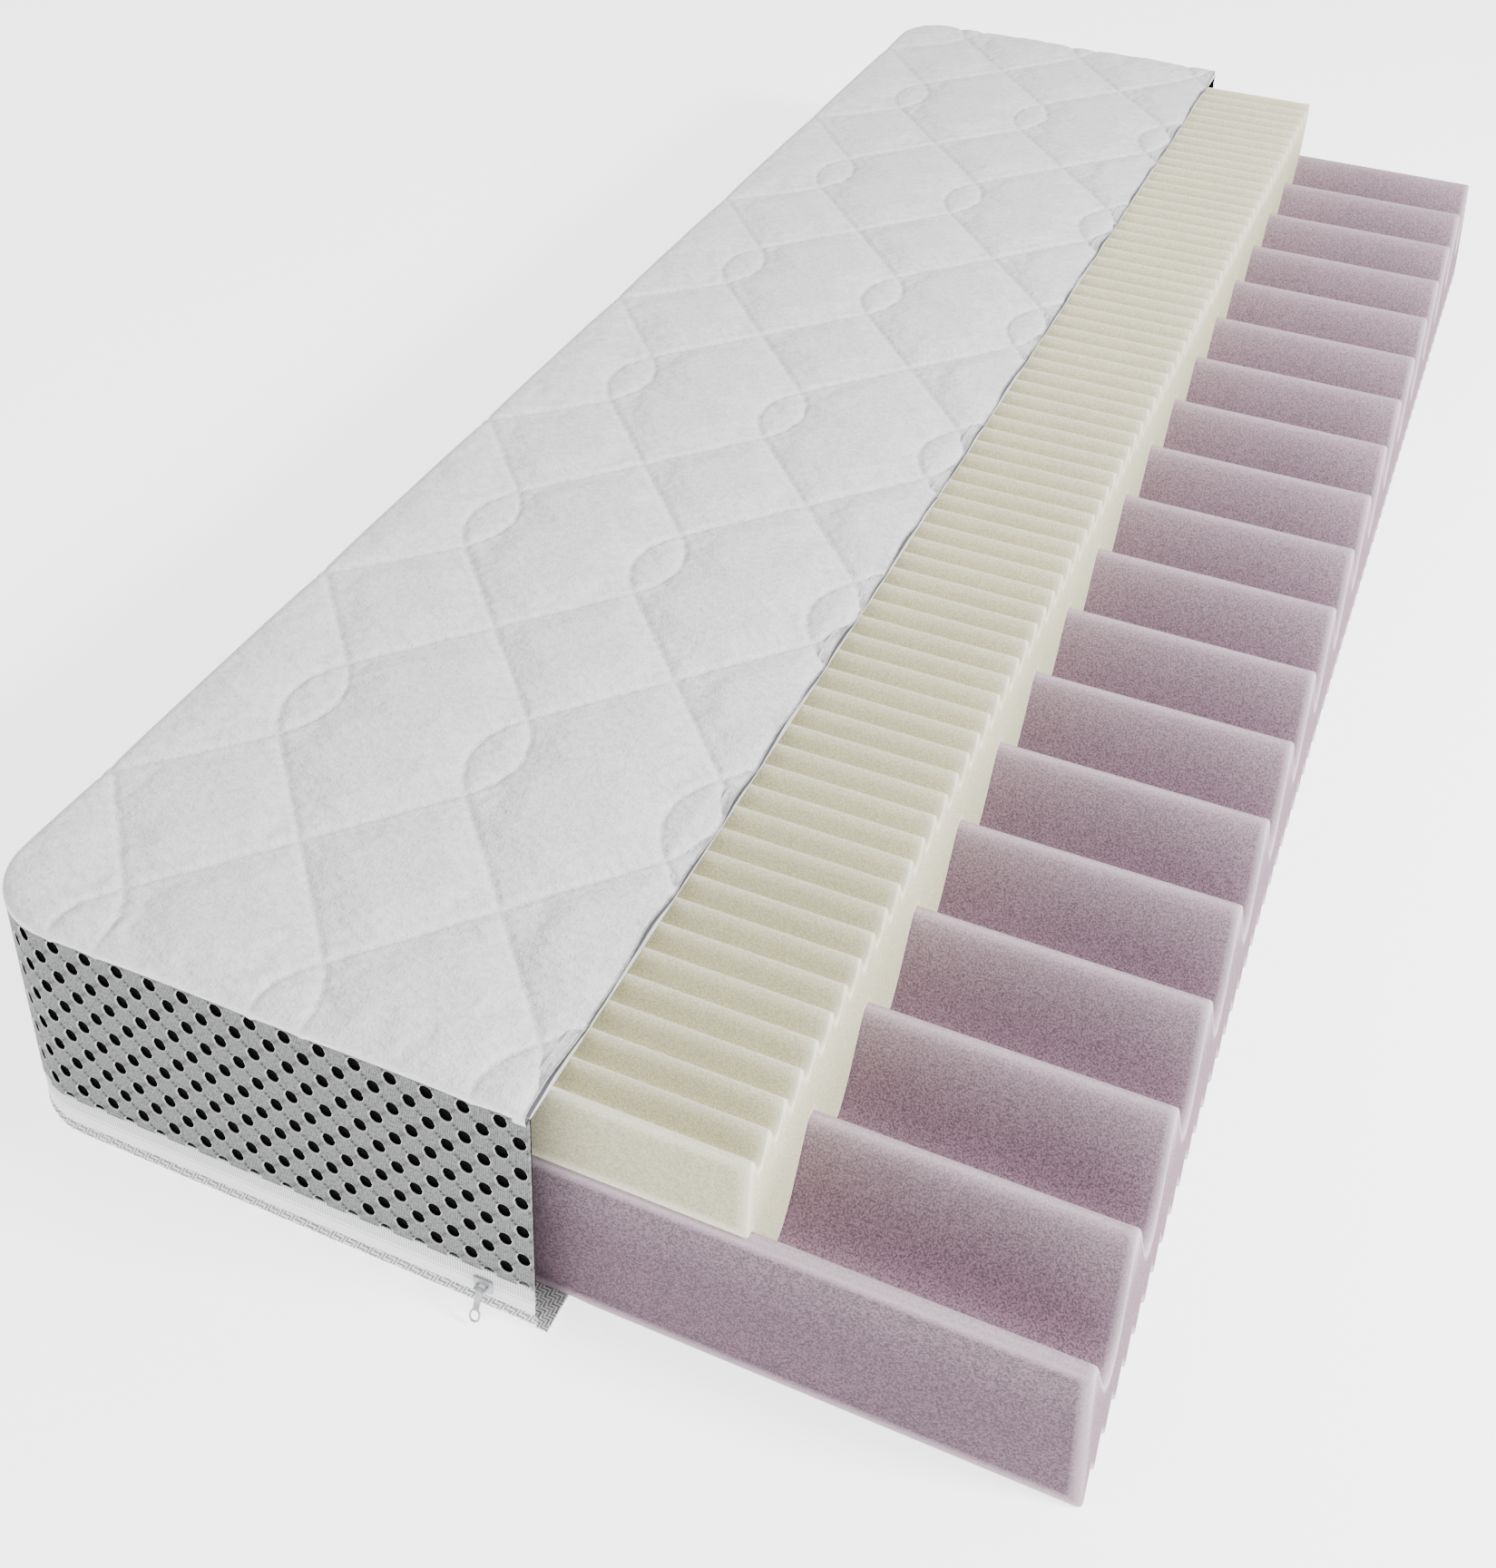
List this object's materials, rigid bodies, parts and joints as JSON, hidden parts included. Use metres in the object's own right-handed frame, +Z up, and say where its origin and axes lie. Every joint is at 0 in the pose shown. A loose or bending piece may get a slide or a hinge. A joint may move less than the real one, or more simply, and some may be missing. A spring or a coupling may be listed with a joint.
{
  "type": "profiled foam mattress cut-away",
  "caption": "Long single mattress shown cut away in steps: quilted zipped cover with mesh border, ridged cream foam layer and deep-waved lilac foam core.",
  "frame": {"origin": "on the resting plane under the middle of the mattress, half way along the cover and half way across the full width", "axes": "+X towards the opened side where the foam layers show, +Y along the mattress away from the end with the zip slider, +Z up"},
  "size_m": [0.8, 2.0157, 0.213],
  "materials": {
    "lilac_foam": "open-cell foam, matt",
    "cream_foam": "open-cell foam, matt",
    "bottom_knit": "herringbone knit, matt",
    "zipper_tape": "ribbed woven tape",
    "zipper_coil": "nylon coil",
    "quilted_knit": "quilted knit, matt",
    "wadding": "loose fibre",
    "quilt_backing": "thin non-woven",
    "spacer_mesh": "spacer mesh with oval holes",
    "mesh_lining": "dark knit",
    "slider_metal": "satin lacquer"
  },
  "bodies": {
    "mattress": {"lilac_foam_core": "lilac_foam", "cream_foam_layer": "cream_foam", "bottom_cover_fabric": "bottom_knit", "zipper_tape_lower": "zipper_tape", "zipper_coil_lower": "zipper_coil"},
    "top_cover": {"quilted_top_fabric": "quilted_knit", "quilt_wadding": "wadding", "quilt_backing_fabric": "quilt_backing", "mesh_border": "spacer_mesh", "mesh_border_lining": "mesh_lining", "zipper_tape_upper": "zipper_tape", "zipper_coil_upper": "zipper_coil"},
    "zip_slider": {"slider_body": "slider_metal", "slider_crown": "slider_metal"},
    "zip_pull": {"pull_tab": "slider_metal"}
  },
  "joints": [
    {"name": "cover_lift", "type": "slide", "parent": "mattress", "child": "top_cover", "axis": [0, 0, 1], "range_m": [0, 0.25]},
    {"name": "slider_run", "type": "slide", "parent": "mattress", "child": "zip_slider", "axis": [1, 0, 0], "range_m": [-0.31, 0.026]},
    {"name": "pull_swing", "type": "hinge", "parent": "zip_slider", "child": "zip_pull", "pos_m": [-0.004, -1.0052, 0.025], "axis": [-1, 0, 0], "range_deg": [-25, 130]}
  ]
}
